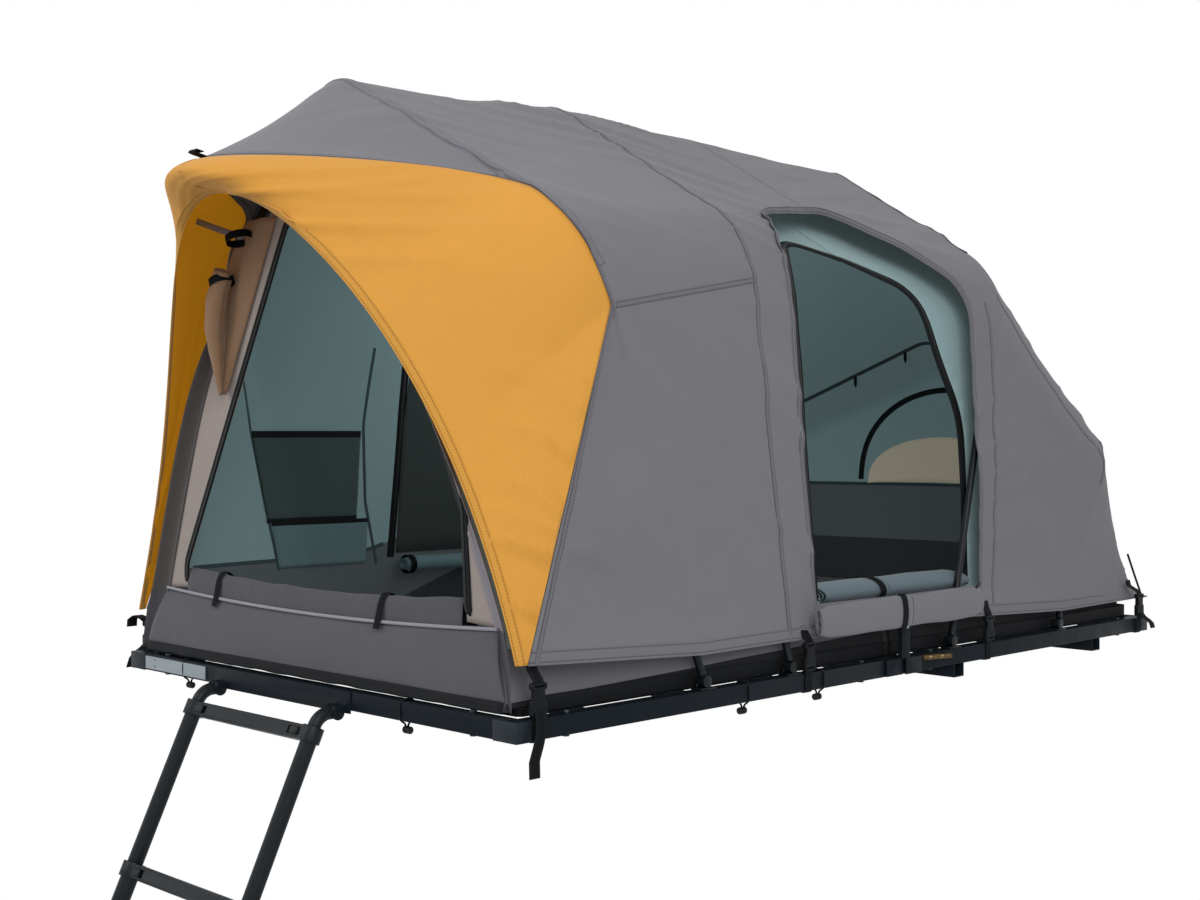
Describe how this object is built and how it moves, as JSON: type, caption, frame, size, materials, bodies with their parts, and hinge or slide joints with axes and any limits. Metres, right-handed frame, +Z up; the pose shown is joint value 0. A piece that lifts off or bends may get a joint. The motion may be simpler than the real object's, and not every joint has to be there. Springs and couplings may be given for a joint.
{
  "type": "roof top tent",
  "caption": "Fold-out roof top tent: hinged rail platform with mattress, inner tent, hooped fly with awning, tie-down straps and a telescopic ladder.",
  "frame": {"origin": "centre of the roof-rack bolt pattern, on the underside of the two cross channels", "axes": "+Z up, the door end with the ladder faces -Y, +X is the side with the open door"},
  "size_m": [1.3493, 3.3226, 3.2199],
  "materials": {
    "rail_paint": "satin powder coat",
    "bracket_paint": "satin powder coat",
    "plate_metal": "brushed",
    "slat_board": "stained",
    "bolt_steel": "blackened",
    "pin_steel": "bright",
    "mattress_cover": "knitted cover",
    "tub_sheet": "coated",
    "wall_fabric": "plain weave",
    "inner_fabric": "plain weave",
    "fly_fabric": "plain weave",
    "awning_fabric": "plain weave",
    "pole_metal": "black anodised",
    "webbing": "woven tape",
    "buckle_plastic": "moulded",
    "lock_plastic": "moulded",
    "ladder_metal": "black anodised",
    "button_plastic": "moulded",
    "foot_rubber": "matt"
  },
  "bodies": {
    "rear_platform": {"rear_side_rails": "rail_paint", "rear_cross_rails": "rail_paint", "rear_slats": "slat_board", "rear_corner_brackets": "bracket_paint", "rear_hinge_leaves": "rail_paint", "hinge_pins": "pin_steel", "rear_bolts": "bolt_steel", "mount_channels": "rail_paint", "rear_mattress": "mattress_cover", "rear_tub": "tub_sheet", "inner_rear_shell": "inner_fabric", "fly_rear": "fly_fabric", "hoop_c": "pole_metal", "hoop_d": "pole_metal", "rear_pole_feet": "pole_metal", "rear_straps": "webbing", "rear_buckles": "buckle_plastic", "side_door_roll": "fly_fabric"},
    "front_platform": {"front_side_rails": "rail_paint", "front_cross_rails": "rail_paint", "front_slats": "slat_board", "front_corner_brackets": "bracket_paint", "front_rail_plate": "plate_metal", "front_hinge_leaves": "rail_paint", "front_bolts": "bolt_steel", "front_mattress": "mattress_cover", "front_tub": "tub_sheet", "inner_front_wall": "wall_fabric", "inner_front_shell": "inner_fabric", "fly_front": "fly_fabric", "awning": "awning_fabric", "hoop_a": "pole_metal", "hoop_b": "pole_metal", "front_pole_feet": "pole_metal", "front_straps": "webbing", "front_buckles": "buckle_plastic", "bungee_loops": "webbing", "cord_locks": "lock_plastic", "ladder_bracket": "rail_paint"},
    "ladder_top": {"ladder_hooks": "ladder_metal", "ladder_section_1": "ladder_metal"},
    "ladder_section_2": {"ladder_section_2": "ladder_metal"},
    "ladder_section_3": {"ladder_section_3": "ladder_metal"},
    "ladder_section_4": {"ladder_section_4": "ladder_metal"},
    "ladder_section_5": {"ladder_section_5": "ladder_metal"},
    "ladder_section_6": {"ladder_section_6": "ladder_metal", "ladder_feet": "foot_rubber"},
    "button_1l": {"ladder_button_1l": "button_plastic"},
    "button_1r": {"ladder_button_1r": "button_plastic"},
    "button_2l": {"ladder_button_2l": "button_plastic"},
    "button_2r": {"ladder_button_2r": "button_plastic"},
    "button_3l": {"ladder_button_3l": "button_plastic"},
    "button_3r": {"ladder_button_3r": "button_plastic"},
    "button_4l": {"ladder_button_4l": "button_plastic"},
    "button_4r": {"ladder_button_4r": "button_plastic"},
    "button_5l": {"ladder_button_5l": "button_plastic"},
    "button_5r": {"ladder_button_5r": "button_plastic"},
    "button_6l": {"ladder_button_6l": "button_plastic"},
    "button_6r": {"ladder_button_6r": "button_plastic"}
  },
  "joints": [
    {"name": "platform_fold", "type": "hinge", "parent": "rear_platform", "child": "front_platform", "pos_m": [0, -0.543, 0.14], "axis": [-1, 0, 0], "range_deg": [0, 180], "deforming": ["front_tub", "inner_front_wall", "inner_front_shell", "fly_front", "awning", "hoop_a", "hoop_b", "front_straps", "bungee_loops", "rear_tub", "inner_rear_shell", "fly_rear", "hoop_c", "hoop_d", "rear_straps", "side_door_roll"]},
    {"name": "ladder_swing", "type": "hinge", "parent": "front_platform", "child": "ladder_top", "pos_m": [-0.06, -1.691, 0.026], "axis": [-1, 0, 0], "range_deg": [0, 65]},
    {"name": "ladder_slide_2", "type": "slide", "parent": "ladder_top", "child": "ladder_section_2", "axis": [0, 0.4226, 0.9063], "range_m": [0, 0.304]},
    {"name": "ladder_slide_3", "type": "slide", "parent": "ladder_section_2", "child": "ladder_section_3", "axis": [0, 0.4226, 0.9063], "range_m": [0, 0.304]},
    {"name": "ladder_slide_4", "type": "slide", "parent": "ladder_section_3", "child": "ladder_section_4", "axis": [0, 0.4226, 0.9063], "range_m": [0, 0.304]},
    {"name": "ladder_slide_5", "type": "slide", "parent": "ladder_section_4", "child": "ladder_section_5", "axis": [0, 0.4226, 0.9063], "range_m": [0, 0.304]},
    {"name": "ladder_slide_6", "type": "slide", "parent": "ladder_section_5", "child": "ladder_section_6", "axis": [0, 0.4226, 0.9063], "range_m": [0, 0.304]},
    {"name": "button_press_1l", "type": "slide", "parent": "ladder_top", "child": "button_1l", "axis": [1, 0, 0], "range_m": [0, 0.01], "stiffness_N_per_m": 200},
    {"name": "button_press_1r", "type": "slide", "parent": "ladder_top", "child": "button_1r", "axis": [-1, 0, 0], "range_m": [0, 0.01], "stiffness_N_per_m": 200},
    {"name": "button_press_2l", "type": "slide", "parent": "ladder_section_2", "child": "button_2l", "axis": [1, 0, 0], "range_m": [0, 0.01], "stiffness_N_per_m": 200},
    {"name": "button_press_2r", "type": "slide", "parent": "ladder_section_2", "child": "button_2r", "axis": [-1, 0, 0], "range_m": [0, 0.01], "stiffness_N_per_m": 200},
    {"name": "button_press_3l", "type": "slide", "parent": "ladder_section_3", "child": "button_3l", "axis": [1, 0, 0], "range_m": [0, 0.01], "stiffness_N_per_m": 200},
    {"name": "button_press_3r", "type": "slide", "parent": "ladder_section_3", "child": "button_3r", "axis": [-1, 0, 0], "range_m": [0, 0.01], "stiffness_N_per_m": 200},
    {"name": "button_press_4l", "type": "slide", "parent": "ladder_section_4", "child": "button_4l", "axis": [1, 0, 0], "range_m": [0, 0.01], "stiffness_N_per_m": 200},
    {"name": "button_press_4r", "type": "slide", "parent": "ladder_section_4", "child": "button_4r", "axis": [-1, 0, 0], "range_m": [0, 0.01], "stiffness_N_per_m": 200},
    {"name": "button_press_5l", "type": "slide", "parent": "ladder_section_5", "child": "button_5l", "axis": [1, 0, 0], "range_m": [0, 0.01], "stiffness_N_per_m": 200},
    {"name": "button_press_5r", "type": "slide", "parent": "ladder_section_5", "child": "button_5r", "axis": [-1, 0, 0], "range_m": [0, 0.01], "stiffness_N_per_m": 200},
    {"name": "button_press_6l", "type": "slide", "parent": "ladder_section_6", "child": "button_6l", "axis": [1, 0, 0], "range_m": [0, 0.01], "stiffness_N_per_m": 200},
    {"name": "button_press_6r", "type": "slide", "parent": "ladder_section_6", "child": "button_6r", "axis": [-1, 0, 0], "range_m": [0, 0.01], "stiffness_N_per_m": 200}
  ]
}
